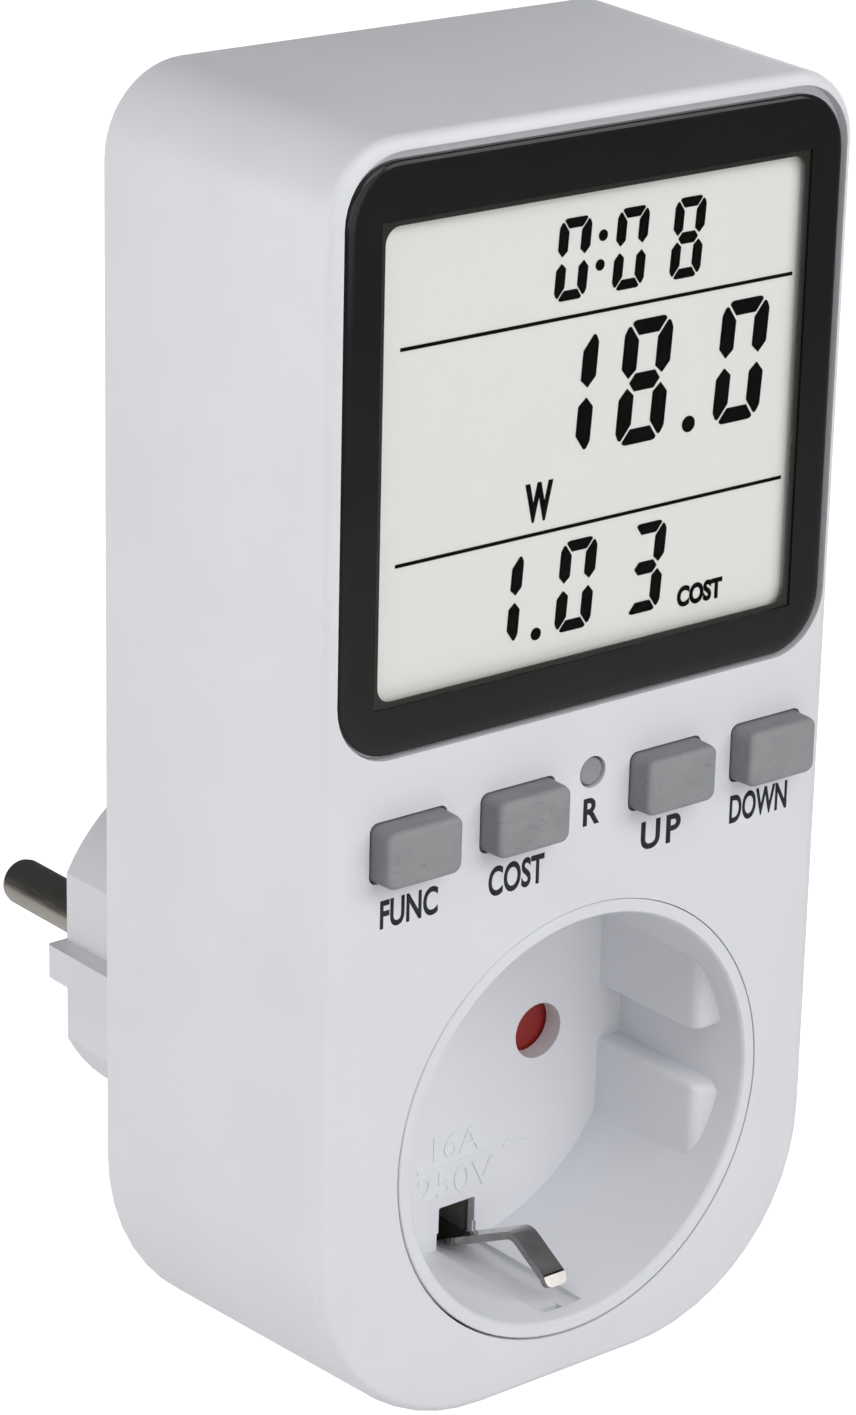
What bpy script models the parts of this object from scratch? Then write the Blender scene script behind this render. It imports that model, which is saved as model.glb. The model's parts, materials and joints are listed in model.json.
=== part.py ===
"""Plug-in power meter: a wall plug with a display, four keys, a reset button and a shuttered socket.

Metres, +Z up. X runs right as one faces the front, and +Y runs into the wall. The origin is the centre
of the plug's engaging face, on the axis that the plug and the socket share, so the front looks along -Y.
Outlines are lists of (x, z); a solid is a stack of outlines at rising y.
"""

import math

import bmesh
import bpy

MM = 0.001
SHARP_DEGREES = 32

# Levels along Y.
FRONT_Y = -58.7 * MM
SHELL_DEPTH = 30.0 * MM
SHELL_REAR_Y = FRONT_Y + SHELL_DEPTH
PLATEAU_Y = -18.0 * MM
PLUG_FACE_Y = 0.0
FLOOR_Y = FRONT_Y + 17.5 * MM
FLOOR_BACK_Y = FLOOR_Y + 2.1 * MM

# Shell outline at the front face. It grows by DRAFT on every side towards the rear.
BODY_LEFT, BODY_RIGHT = -30.43 * MM, 27.83 * MM
BODY_LOW, BODY_HIGH = -25.73 * MM, 94.42 * MM
BODY_MID = (BODY_LEFT + BODY_RIGHT) / 2
TOP_CORNER, LOW_CORNER = 6.8 * MM, 19.7 * MM
DRAFT = 1.26 * MM
WALL = 2.0 * MM
FRONT_WALL = 2.6 * MM
FRONT_EDGE = 1.0 * MM

# Socket: a round insert with its recess, guide ribs, floor slots and pin holes.
INSERT_RADIUS = 21.29 * MM
RECESS_RADIUS = 19.9 * MM
HAIRLINE = 0.15 * MM
HAIRLINE_SHIFT = (-0.05 * MM, -0.04 * MM)
RIB_X = 17.1 * MM
RIB_Z = 2.75 * MM
PIN_PITCH = 19.0 * MM
PIN_RADIUS = 2.4 * MM
PIN_REACH = 19.0 * MM
PIN_HOLE_RADIUS = 2.8 * MM
SLOT_HALF_WIDTH = 2.2 * MM
SLOT_INNER, SLOT_OUTER = 15.4 * MM, 20.2 * MM
SLOT_WALL = 0.95 * MM

# Keys and reset button, which share the height of one row.
ROW_Z = 32.1 * MM
RESET_X, RESET_Z = -0.25 * MM, 34.15 * MM
RESET_HOLE_RADIUS = 1.5 * MM
RESET_SUNK = 0.2 * MM
RESET_RADIUS = 1.27 * MM
KEY_OFFSETS = {"key_func": -20.8, "key_cost": -8.6, "key_up": 8.6, "key_down": 20.8}
KEY_WIDTH, KEY_HEIGHT = 8.3 * MM, 5.45 * MM
KEY_GAP = 0.12 * MM
KEY_PROUD = 2.65 * MM
KEY_TRAVEL = 1.0 * MM
KEY_CORNER = 0.7 * MM
KEY_STEM_Y = -53.2 * MM

# Display.
BEZEL_BOX = (-28.68 * MM, 26.52 * MM, 40.72 * MM, 92.37 * MM)
BEZEL_CORNER = 5.5 * MM
BEZEL_SUNK = 0.05 * MM
BEZEL_THICK = 0.8 * MM
BEZEL_ROUND = 1.4 * MM
BEZEL_FALL = 0.3 * MM
POCKET_BOX = (-29.05 * MM, 26.93 * MM, 40.4 * MM, 93.2 * MM)
POCKET_CORNER = 5.9 * MM
BEZEL_OPENING = (-25.1 * MM, 22.8 * MM, 45.1 * MM, 87.4 * MM)
VIEW_AREA = (-24.6 * MM, 22.3 * MM, 45.6 * MM, 86.9 * MM)
LCD_BOX = (-26.7 * MM, 24.4 * MM, 43.4 * MM, 89.2 * MM)
DISPLAY_BOARD_Y = -50.0 * MM
MAIN_BOARD_Y = -42.6 * MM
BOARD_THICK = 1.6 * MM

# Rear cover and plug body.
COVER_GAP = 0.25 * MM
COVER_Y = SHELL_REAR_Y - 0.3 * MM
COVER_THICK = 2.2 * MM
PLATEAU_BOX = (-22.9 * MM, 20.3 * MM, -20.5 * MM, 85.0 * MM)
PLUG_RADIUS = 18.9 * MM
PLUG_FLAT_X = 16.7 * MM
PLUG_RIB_Z = 1.75 * MM
EARTH_RECESS_Z = 17.4 * MM
EARTH_STRIP_MM = 18.1

# Child shutter and the carrier behind it.
SHUTTER_FRONT_Y = FLOOR_BACK_Y + 0.3 * MM
SHUTTER_THICK = 1.8 * MM
SHUTTER_REACH = 13.6 * MM
POCKET_Y = SHUTTER_FRONT_Y + SHUTTER_THICK + 0.3 * MM
CARRIER_BACK_Y = POCKET_Y + 3.2 * MM
CARRIER_RADIUS = 20.3 * MM
CARRIER_SLOT_Z = 12.4 * MM
CLIP_PIVOT_Y = -36.0 * MM
CLIP_ROOT_MM = 19.2
CLIP_WIDTH = 2.5 * MM
CLIP_THICK = 0.75 * MM
CLIP_CORNER = 0.65 * MM
CLIP_LIP_MM = 1.05

# Fasteners: (x, z) of each case screw, and of each board screw.
CASE_SCREWS = ((-26.4, 88.5), (23.8, 88.5), (-20.5, -18.5), (17.9, -18.5))
DISPLAY_SCREWS = ((-25.6, 39.6), (23.0, 39.6))
MAIN_SCREWS = ((-19.0, 33.0), (16.4, 79.0))


def clear_scene():
    for item in list(bpy.data.objects):
        bpy.data.objects.remove(item)


def material(name, colour, roughness, metallic=0.0):
    made = bpy.data.materials.get(name)
    if made:
        return made
    made = bpy.data.materials.new(name)
    made.use_nodes = True
    shader = made.node_tree.nodes["Principled BSDF"]
    shader.inputs["Base Color"].default_value = (*colour, 1.0)
    shader.inputs["Roughness"].default_value = roughness
    shader.inputs["Metallic"].default_value = metallic
    made.diffuse_color = (*colour, 1.0)
    return made


def white_plastic():
    return material("white_plastic", (0.74, 0.75, 0.78), 0.42)


def black_gloss():
    return material("black_gloss", (0.012, 0.012, 0.012), 0.08)


def grey_rubber():
    return material("grey_rubber", (0.26, 0.27, 0.27), 0.65)


def nickel():
    return material("nickel", (0.68, 0.65, 0.60), 0.22, 1.0)


def brass():
    return material("brass", (0.72, 0.52, 0.22), 0.30, 1.0)


def zinc_steel():
    return material("zinc_steel", (0.62, 0.63, 0.65), 0.30, 1.0)


def circuit_board():
    return material("circuit_board", (0.03, 0.16, 0.07), 0.45)


def arc(cx, cz, radius, start, end, steps):
    """Points round a centre from one angle to another, in degrees, both ends included."""
    angles = [math.radians(start + (end - start) * i / steps) for i in range(steps + 1)]
    return [(cx + radius * math.cos(a), cz + radius * math.sin(a)) for a in angles]


def circle(cx, cz, radius, steps=32):
    return arc(cx, cz, radius, 0, 360, steps)[:-1]


def rounded(box, top, low=None, inset=0.0, steps=6):
    """Outline of a rectangle (left, right, low, high) with rounded corners, shrunk by inset."""
    low = top if low is None else low
    left, right, bottom, high = box[0] + inset, box[1] - inset, box[2] + inset, box[3] - inset
    top, low = max(top - inset, 1e-5), max(low - inset, 1e-5)
    return (
        arc(right - low, bottom + low, low, -90, 0, steps)
        + arc(right - top, high - top, top, 0, 90, steps)
        + arc(left + top, high - top, top, 90, 180, steps)
        + arc(left + low, bottom + low, low, 180, 270, steps)
    )


def centred(cx, cz, width, height):
    return (cx - width / 2, cx + width / 2, cz - height / 2, cz + height / 2)


def body_outline(inset=0.0, steps=12):
    box = (BODY_LEFT, BODY_RIGHT, BODY_LOW, BODY_HIGH)
    return rounded(box, TOP_CORNER, LOW_CORNER, inset, steps)


def add_stack(mesh, levels, axis="y"):
    """Adds one closed solid: outlines of equal length at rising places along an axis, joined and capped."""
    rings = []
    for outline, place in levels:
        if axis == "y":
            ring = [mesh.verts.new((a, place, b)) for a, b in outline]
        else:
            ring = [mesh.verts.new((place, a, b)) for a, b in outline]
        rings.append(ring)
    for low, high in zip(rings, rings[1:]):
        for i in range(len(low)):
            j = (i + 1) % len(low)
            mesh.faces.new((low[i], low[j], high[j], high[i]))
    mesh.faces.new(rings[0])
    mesh.faces.new(list(reversed(rings[-1])))


def build(name, stacks, finish=None, origin=(0.0, 0.0, 0.0), axis="y"):
    """An object made of closed stacks, with its own origin. Without a finish it is a hidden cutter."""
    mesh = bmesh.new()
    for levels in stacks:
        add_stack(mesh, levels, axis)
    bmesh.ops.recalc_face_normals(mesh, faces=mesh.faces)
    bmesh.ops.translate(mesh, verts=mesh.verts, vec=[-value for value in origin])
    data = bpy.data.meshes.new(name)
    mesh.to_mesh(data)
    mesh.free()
    data.shade_smooth()
    made = bpy.data.objects.new(name, data)
    made.location = origin
    bpy.context.scene.collection.objects.link(made)
    if finish:
        data.materials.append(finish)
    else:
        made.hide_render = True
        made.display_type = "WIRE"
    return made


def combine(body, operation, stacks, axis="y"):
    """Cuts closed stacks from a body, or joins them to it, with one exact Boolean."""
    count = len(body.modifiers) + 1
    helper = build(f"{body.name}_{operation.lower()}_{count}", stacks, axis=axis)
    modifier = body.modifiers.new(f"{operation.lower()} {count}", "BOOLEAN")
    modifier.operation = operation
    modifier.object = helper
    return body


def prism(outline, start, end):
    return [(outline, start), (outline, end)]


def post(x, z, radius, start, end, steps=16):
    """A round prism along Y; x, z and radius are in mm."""
    return prism(circle(x * MM, z * MM, radius * MM, steps), start, end)


def key_centre(name):
    return RESET_X + KEY_OFFSETS[name] * MM


def front_housing():
    levels = []
    for degrees in (0, 30, 60, 90):
        turn = math.radians(degrees)
        inset = FRONT_EDGE * (1 - math.sin(turn))
        levels.append((body_outline(inset), FRONT_Y + FRONT_EDGE * (1 - math.cos(turn))))
    levels.append((body_outline(-DRAFT), SHELL_REAR_Y))
    shell = build("front_housing", [levels], white_plastic())
    cavity = [
        (body_outline(WALL), FRONT_Y + FRONT_WALL),
        (body_outline(WALL - DRAFT), SHELL_REAR_Y),
        (body_outline(WALL - DRAFT), SHELL_REAR_Y + 2 * MM),
    ]
    combine(shell, "DIFFERENCE", [cavity])
    boss_end = COVER_Y - COVER_THICK - 0.3 * MM
    bosses = [post(x, z, 3.0, -47.0 * MM, boss_end, 20) for x, z in CASE_SCREWS]
    inside = FRONT_Y + FRONT_WALL - 0.5 * MM
    posts = [post(x, z, 1.8, inside, DISPLAY_BOARD_Y - 0.3 * MM) for x, z in DISPLAY_SCREWS]
    combine(shell, "UNION", bosses + posts)
    through = (FRONT_Y - 1 * MM, FRONT_Y + FRONT_WALL + 1 * MM)
    openings = [prism(circle(*HAIRLINE_SHIFT, INSERT_RADIUS + HAIRLINE, 96), *through)]
    openings.append(prism(circle(RESET_X, RESET_Z, RESET_HOLE_RADIUS, 32), *through))
    for name in KEY_OFFSETS:
        size = centred(key_centre(name), ROW_Z, KEY_WIDTH, KEY_HEIGHT)
        openings.append(prism(rounded(size, KEY_CORNER, inset=-KEY_GAP), *through))
    openings.append(prism(rounded(LCD_BOX, 0.3 * MM, inset=-0.3 * MM, steps=3), *through))
    holes = [post(x, z, 1.15, -44.0 * MM, SHELL_REAR_Y, 12) for x, z in CASE_SCREWS]
    holes += [post(x, z, 0.85, -54.5 * MM, -49.0 * MM, 12) for x, z in DISPLAY_SCREWS]
    combine(shell, "DIFFERENCE", openings + holes)
    pocket = rounded(POCKET_BOX, POCKET_CORNER, steps=10)
    combine(shell, "DIFFERENCE", [prism(pocket, FRONT_Y - 1 * MM, FRONT_Y + 1.0 * MM)])
    return shell


def plug_outline(radius, flat_x, rib_x=None):
    """A circle with flat flanks. With rib_x, each flank keeps a rib of the full width at pin height."""
    lift = math.degrees(math.acos(flat_x / radius))
    upper = arc(0, 0, radius, lift, 180 - lift, 24)
    lower = arc(0, 0, radius, 180 + lift, 360 - lift, 24)
    if rib_x is None:
        return upper + lower
    rib_z = PLUG_RIB_Z
    left = [(-flat_x, rib_z), (-rib_x, rib_z), (-rib_x, -rib_z), (-flat_x, -rib_z)]
    right = [(x * -1, z * -1) for x, z in left]
    return upper + left + lower + right


def rear_cover():
    inner = WALL - DRAFT + COVER_GAP
    flange = prism(body_outline(inner), COVER_Y - COVER_THICK, COVER_Y)
    cover = build("rear_cover", [flange], white_plastic())
    soft = 1.0 * MM
    plateau = [
        (rounded(PLATEAU_BOX, 5 * MM, 16 * MM, -0.4 * MM, 8), COVER_Y - 1.0 * MM),
        (rounded(PLATEAU_BOX, 5 * MM, 16 * MM, 0.0, 8), PLATEAU_Y - soft),
        (rounded(PLATEAU_BOX, 5 * MM, 16 * MM, 0.3 * MM, 8), PLATEAU_Y - 0.3 * MM),
        (rounded(PLATEAU_BOX, 5 * MM, 16 * MM, soft, 8), PLATEAU_Y),
    ]
    combine(cover, "UNION", [plateau])
    edge = 0.3 * MM
    rib_x = PLUG_RADIUS - 0.05 * MM
    plug = [
        (plug_outline(PLUG_RADIUS, PLUG_FLAT_X, rib_x), PLATEAU_Y - 1.5 * MM),
        (plug_outline(PLUG_RADIUS, PLUG_FLAT_X, rib_x), PLUG_FACE_Y - edge),
        (plug_outline(PLUG_RADIUS - edge, PLUG_FLAT_X - edge, rib_x - edge), PLUG_FACE_Y),
    ]
    combine(cover, "UNION", [plug])
    hollow = [
        (rounded(PLATEAU_BOX, 4 * MM, 15 * MM, WALL, 6), COVER_Y - COVER_THICK - 1 * MM),
        (rounded(PLATEAU_BOX, 4 * MM, 15 * MM, WALL, 6), PLATEAU_Y - WALL),
    ]
    combine(cover, "DIFFERENCE", [hollow])
    bore = plug_outline(PLUG_RADIUS - 3.2 * MM, PLUG_FLAT_X - WALL)
    combine(cover, "DIFFERENCE", [prism(bore, PLATEAU_Y - 3 * MM, PLUG_FACE_Y - 2.4 * MM)])
    post_start = MAIN_BOARD_Y + BOARD_THICK + 0.3 * MM
    posts = [post(x, z, 2.4, post_start, PLATEAU_Y - 1 * MM) for x, z in MAIN_SCREWS]
    combine(cover, "UNION", posts)
    cuts = [post(x, z, 1.6, -34.0 * MM, -27.0 * MM) for x, z in CASE_SCREWS]
    cuts += [post(x, z, 0.85, -42.0 * MM, -34.0 * MM, 12) for x, z in MAIN_SCREWS]
    for side in (-1, 1):
        pin_bore = circle(side * PIN_PITCH / 2, 0, PIN_RADIUS + HAIRLINE)
        cuts.append(prism(pin_bore, -4 * MM, 2 * MM))
    for side in (-1, 1):
        recess = sorted((side * EARTH_RECESS_Z, side * 22 * MM))
        outline = rounded((-3.2 * MM, 3.2 * MM, *recess), 0.4 * MM, steps=2)
        cuts.append(prism(outline, -16.6 * MM, 2 * MM))
    combine(cover, "DIFFERENCE", cuts)
    slots = []
    for side in (-1, 1):
        slot = sorted((side * 14.0 * MM, side * 19.5 * MM))
        outline = rounded((-3.2 * MM, 3.2 * MM, *slot), 0.4 * MM, steps=2)
        slots.append(prism(outline, -17.0 * MM, -13.2 * MM))
    combine(cover, "DIFFERENCE", slots)
    return cover


def rib_outline(inner_x, low_z):
    """The part of the recess wall's circle beyond inner_x and above low_z, which a guide rib fills."""
    reach = RECESS_RADIUS + 0.7 * MM
    soft = 0.5 * MM
    start = math.degrees(math.asin(low_z / reach))
    end = math.degrees(math.acos(inner_x / reach))
    corner = arc(inner_x + soft, low_z + soft, soft, 180, 270, 3)
    return corner + arc(0, 0, reach, start, end, 8)


def mirrored(outline, flip_x, flip_z):
    return [(x * flip_x, z * flip_z) for x, z in outline]


def socket_insert():
    edge = 0.25 * MM
    outer = [
        (circle(0, 0, INSERT_RADIUS - 0.1 * MM, 96), FRONT_Y),
        (circle(0, 0, INSERT_RADIUS, 96), FRONT_Y + 0.1 * MM),
        (circle(0, 0, INSERT_RADIUS, 96), FLOOR_BACK_Y),
    ]
    insert = build("socket_insert", [outer], white_plastic())
    recess = [
        (circle(0, 0, RECESS_RADIUS + edge + 1 * MM, 96), FRONT_Y - 1 * MM),
        (circle(0, 0, RECESS_RADIUS + edge, 96), FRONT_Y),
        (circle(0, 0, RECESS_RADIUS + 0.07 * MM, 96), FRONT_Y + edge * 0.7),
        (circle(0, 0, RECESS_RADIUS, 96), FRONT_Y + edge * 1.6),
        (circle(0, 0, RECESS_RADIUS, 96), FLOOR_Y),
    ]
    combine(insert, "DIFFERENCE", [recess])
    profile = (
        (rib_outline(19.4 * MM, RIB_Z + 0.9 * MM), FRONT_Y + 3.0 * MM),
        (rib_outline(17.8 * MM, RIB_Z + 0.36 * MM), FRONT_Y + 3.6 * MM),
        (rib_outline(17.42 * MM, RIB_Z + 0.2 * MM), FRONT_Y + 3.86 * MM),
        (rib_outline(17.2 * MM, RIB_Z + 0.08 * MM), FRONT_Y + 4.25 * MM),
        (rib_outline(RIB_X, RIB_Z), FRONT_Y + 4.8 * MM),
        (rib_outline(RIB_X, RIB_Z), FLOOR_Y + 0.7 * MM),
    )
    ribs = []
    for flip_x in (-1, 1):
        for flip_z in (-1, 1):
            ribs.append([(mirrored(outline, flip_x, flip_z), y) for outline, y in profile])
    combine(insert, "UNION", ribs)
    through = (FLOOR_Y - 1 * MM, FLOOR_BACK_Y + 1 * MM)
    cuts = []
    reliefs = []
    channels = []
    for side in (-1, 1):
        cuts.append(prism(circle(side * PIN_PITCH / 2, 0, PIN_HOLE_RADIUS), *through))
        slot = sorted((side * SLOT_INNER, side * SLOT_OUTER))
        slot_box = (-SLOT_HALF_WIDTH, SLOT_HALF_WIDTH, *slot)
        cuts.append(prism(rounded(slot_box, 0.2 * MM, steps=2), *through))
        wide_box = (-3.1 * MM, 3.1 * MM, *sorted((side * 14.8 * MM, side * SLOT_OUTER)))
        reliefs.append(prism(rounded(wide_box, 0.3 * MM, steps=2), FLOOR_Y + SLOT_WALL, through[1]))
        channel = sorted((side * 18.0 * MM, side * SLOT_OUTER))
        outline = rounded((-2.4 * MM, 2.4 * MM, *channel), 0.1 * MM, steps=1)
        channels.append(prism(outline, FRONT_Y + 1.9 * MM, FLOOR_Y + 0.3 * MM))
    combine(insert, "DIFFERENCE", cuts)
    notch = rounded((-1.5 * MM, 0.5 * MM, -20.9 * MM, -20.0 * MM), 0.1 * MM, steps=1)
    reliefs.append(prism(notch, FRONT_Y + 2.3 * MM, FRONT_Y + 3.2 * MM))
    combine(insert, "DIFFERENCE", reliefs)
    combine(insert, "DIFFERENCE", channels)
    return insert


def contact_carrier():
    """The black block behind the socket floor. It holds the shutter's pivot, both contacts and the clips."""
    finish = material("black_plastic", (0.022, 0.022, 0.023), 0.5)
    disc = prism(circle(0, 0, CARRIER_RADIUS, 64), FLOOR_BACK_Y + 0.2 * MM, CARRIER_BACK_Y)
    carrier = build("contact_carrier", [disc], finish)
    pocket = prism(circle(0, 0, 14.6 * MM, 64), FLOOR_BACK_Y - 1 * MM, POCKET_Y)
    combine(carrier, "DIFFERENCE", [pocket])
    sleeves = []
    cuts = [prism(circle(0, 0, 3.4 * MM), POCKET_Y - 1 * MM, POCKET_Y + 2.2 * MM)]
    guides = []
    for side in (-1, 1):
        x = side * PIN_PITCH / 2
        sleeves.append(prism(circle(x, 0, 5.2 * MM), CARRIER_BACK_Y - 1 * MM, -21.5 * MM))
        cuts.append(prism(circle(x, 0, 3.7 * MM), POCKET_Y + 0.8 * MM, -20.0 * MM))
        slot = sorted((side * CARRIER_SLOT_Z, side * 21.5 * MM))
        outline = rounded((-2.6 * MM, 2.6 * MM, *slot), 0.2 * MM, steps=1)
        cuts.append(prism(outline, FLOOR_BACK_Y - 1 * MM, -30.0 * MM))
        guides.append(prism(circle(x, 0, 2.9 * MM), POCKET_Y - 1 * MM, POCKET_Y + 2 * MM))
    combine(carrier, "UNION", sleeves)
    combine(carrier, "DIFFERENCE", cuts)
    combine(carrier, "DIFFERENCE", guides)
    pivot = prism(circle(0, 0, 1.3 * MM, 20), FLOOR_BACK_Y + 0.25 * MM, POCKET_Y + 2.6 * MM)
    return combine(carrier, "UNION", [pivot])


def bow_tie(reach, hub, half_angle):
    """Two arms along X from a round hub."""
    waist = 90 - half_angle
    return (
        arc(0, 0, reach, -half_angle, half_angle, 10)
        + arc(0, 0, hub, 90 - waist * 0.6, 90 + waist * 0.6, 6)
        + arc(0, 0, reach, 180 - half_angle, 180 + half_angle, 10)
        + arc(0, 0, hub, 270 - waist * 0.6, 270 + waist * 0.6, 6)
    )


def child_shutter():
    """The red bow tie that covers both pin holes. Its mesh keeps its origin on the pivot."""
    start = SHUTTER_FRONT_Y
    blade = prism(bow_tie(SHUTTER_REACH, 4.6 * MM, 20), start, start + SHUTTER_THICK)
    finish = material("red_plastic", (0.45, 0.02, 0.02), 0.35)
    shutter = build("child_shutter", [blade], finish, origin=(0.0, start, 0.0))
    bore = prism(circle(0, 0, 1.6 * MM, 20), start - 1 * MM, start + 4 * MM)
    return combine(shutter, "DIFFERENCE", [bore])


def shutter_spring():
    """A torsion spring of three turns round the shutter's pivot."""
    curve = bpy.data.curves.new("shutter_spring", "CURVE")
    curve.dimensions = "3D"
    curve.bevel_depth = 0.22 * MM
    curve.bevel_resolution = 1
    curve.use_fill_caps = True
    turns, steps = 3, 14
    spline = curve.splines.new("POLY")
    spline.points.add(turns * steps)
    for i, point in enumerate(spline.points):
        angle = 2 * math.pi * i / steps
        y = POCKET_Y + 0.3 * MM + 1.5 * MM * i / (turns * steps)
        point.co = (2.2 * MM * math.cos(angle), y, 2.2 * MM * math.sin(angle), 1.0)
    spring = bpy.data.objects.new("shutter_spring", curve)
    bpy.context.scene.collection.objects.link(spring)
    curve.materials.append(zinc_steel())
    return spring


def round_path(points, radii, steps=4):
    """Replaces each inner corner of a path with an arc of its radius."""
    path = [points[0]]
    for before, corner, after, radius in zip(points, points[1:], points[2:], radii):
        to_start = (before[0] - corner[0], before[1] - corner[1])
        to_end = (after[0] - corner[0], after[1] - corner[1])
        long_start, long_end = math.hypot(*to_start), math.hypot(*to_end)
        unit_start = (to_start[0] / long_start, to_start[1] / long_start)
        unit_end = (to_end[0] / long_end, to_end[1] / long_end)
        half = math.acos(unit_start[0] * unit_end[0] + unit_start[1] * unit_end[1]) / 2
        back = radius / math.tan(half)
        middle = (unit_start[0] + unit_end[0], unit_start[1] + unit_end[1])
        scale = radius / math.sin(half) / math.hypot(*middle)
        centre = (corner[0] + middle[0] * scale, corner[1] + middle[1] * scale)
        first = (corner[0] + unit_start[0] * back, corner[1] + unit_start[1] * back)
        last = (corner[0] + unit_end[0] * back, corner[1] + unit_end[1] * back)
        angle = math.atan2(first[1] - centre[1], first[0] - centre[0])
        sweep = math.atan2(last[1] - centre[1], last[0] - centre[0]) - angle
        sweep = (sweep + math.pi) % (2 * math.pi) - math.pi
        for i in range(steps + 1):
            turn = angle + sweep * i / steps
            path.append((centre[0] + radius * math.cos(turn), centre[1] + radius * math.sin(turn)))
    return path + [points[-1]]


def strip_outline(path, thickness):
    """The outline of a strip that follows a path, with square ends."""
    sides = ([], [])
    for i, (a, b) in enumerate(path):
        before, after = path[max(i - 1, 0)], path[min(i + 1, len(path) - 1)]
        run = math.hypot(after[0] - before[0], after[1] - before[1])
        normal = ((before[1] - after[1]) / run, (after[0] - before[0]) / run)
        for side, sign in zip(sides, (1, -1)):
            side.append((a + sign * normal[0] * thickness / 2, b + sign * normal[1] * thickness / 2))
    return sides[0] + sides[1][::-1]


def strip(name, points, radii, width, thickness, finish, origin=(0.0, 0.0, 0.0), steps=4):
    """A flat strip of constant width across X that follows a path in the YZ plane."""
    path = round_path(points, radii, steps)
    outline = strip_outline(path, thickness)
    return build(name, [prism(outline, -width / 2, width / 2)], finish, origin=origin, axis="x")


def earth_clip(name, side, knee, crest):
    """A spring strip that arches into the recess from its floor slot. knee and crest are (y, z) in mm."""
    lip = (knee[0] - 0.52 * CLIP_LIP_MM, knee[1] + 0.85 * CLIP_LIP_MM)
    points = [lip, knee, crest, (-41.4, CLIP_ROOT_MM), (-33.2, CLIP_ROOT_MM), (-33.2, 13.0)]
    points = [(y * MM, side * z * MM) for y, z in points]
    radii = [0.45 * MM, 1.6 * MM, 1.6 * MM, 0.8 * MM]
    run = math.dist(points[0], points[1])
    half = CLIP_WIDTH / 2
    levels = []
    for sign in (-1, 1):
        for degrees in (90, 60, 30, 0)[::-sign]:
            turn = math.radians(degrees)
            back = CLIP_CORNER * (1 - math.cos(turn)) / run
            end = tuple(a + (b - a) * back for a, b in zip(points[0], points[1]))
            outline = strip_outline(round_path([end] + points[1:], radii, 6), CLIP_THICK)
            levels.append((outline, sign * (half - CLIP_CORNER * (1 - math.sin(turn)))))
    pivot = (0.0, CLIP_PIVOT_Y, side * CLIP_ROOT_MM * MM)
    return build(name, [levels], nickel(), origin=pivot, axis="x")


def plug_earth(name, side):
    """The earth strip that lies in the plug's recess and turns in to meet the clip's foot."""
    level = EARTH_STRIP_MM
    points = [(-31.3, 15.0), (-16.2, 15.0), (-14.4, level), (-1.4, level), (-0.75, level - 0.4)]
    points = [(y * MM, side * z * MM) for y, z in points]
    return strip(name, points, [0.8 * MM, 0.8 * MM, 0.6 * MM], 5.6 * MM, 0.6 * MM, nickel(), steps=3)


def earth_link():
    points = [(-32.4 * MM, -16.5 * MM), (-32.4 * MM, 16.5 * MM)]
    return strip("earth_link", points, [], 4.0 * MM, 0.6 * MM, brass())


def pin(name, side):
    """A solid plug pin with a rounded tip and a reduced tail that the terminal strip is crimped to."""
    x = side * PIN_PITCH / 2
    soft = 1.1 * MM
    levels = [
        (circle(x, 0, 1.4 * MM, 32), -10.0 * MM),
        (circle(x, 0, 1.4 * MM, 32), -6.6 * MM),
        (circle(x, 0, PIN_RADIUS, 32), -6.6 * MM),
        (circle(x, 0, PIN_RADIUS, 32), PIN_REACH - soft),
    ]
    for degrees in (30, 60, 90):
        turn = math.radians(degrees)
        radius = PIN_RADIUS - soft * (1 - math.cos(turn))
        levels.append((circle(x, 0, radius, 32), PIN_REACH - soft * (1 - math.sin(turn))))
    return build(name, [levels], nickel(), origin=(x, 0.0, 0.0))


def pin_bridge():
    """The insulating plate inside the plug that holds both pins."""
    finish = material("black_plastic", (0.03, 0.03, 0.03), 0.5)
    outline = rounded(centred(0, 0, 27.6 * MM, 12 * MM), 2.5 * MM, steps=4)
    bridge = build("pin_bridge", [prism(outline, -6.2 * MM, -2.7 * MM)], finish)
    holes = []
    for side in (-1, 1):
        bore = circle(side * PIN_PITCH / 2, 0, PIN_RADIUS + 0.2 * MM)
        holes.append(prism(bore, -8 * MM, -1 * MM))
    return combine(bridge, "DIFFERENCE", holes)


def contact(name, side):
    """A split brass sleeve that a plug's pin slides into, with a solder tail."""
    x = side * PIN_PITCH / 2
    sleeve = build(name, [prism(circle(x, 0, 3.4 * MM, 32), POCKET_Y + 1.0 * MM, -22.5 * MM)], brass())
    combine(sleeve, "DIFFERENCE", [prism(circle(x, 0, 2.5 * MM, 32), POCKET_Y, -24.0 * MM)])
    slit = prism(rounded(centred(x, 0, 0.8 * MM, 9 * MM), 0.1 * MM, steps=1), POCKET_Y, -26.0 * MM)
    combine(sleeve, "DIFFERENCE", [slit])
    return combine(sleeve, "UNION", [prism(circle(x, 0, 1.0 * MM, 12), -23.5 * MM, -19.2 * MM)])


def display_bezel():
    front = FRONT_Y + BEZEL_SUNK
    levels = []
    for degrees in (0, 22, 44, 66, 90):
        turn = math.radians(degrees)
        outline = rounded(BEZEL_BOX, BEZEL_CORNER, inset=BEZEL_ROUND * (1 - math.sin(turn)), steps=10)
        levels.append((outline, front + BEZEL_FALL * (1 - math.cos(turn))))
    levels.append((rounded(BEZEL_BOX, BEZEL_CORNER, steps=10), front + BEZEL_THICK))
    bezel = build("display_bezel", [levels], black_gloss())
    opening = rounded(BEZEL_OPENING, 0.15 * MM, steps=1)
    return combine(bezel, "DIFFERENCE", [prism(opening, FRONT_Y - 1 * MM, FRONT_Y + 2 * MM)])


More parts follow.
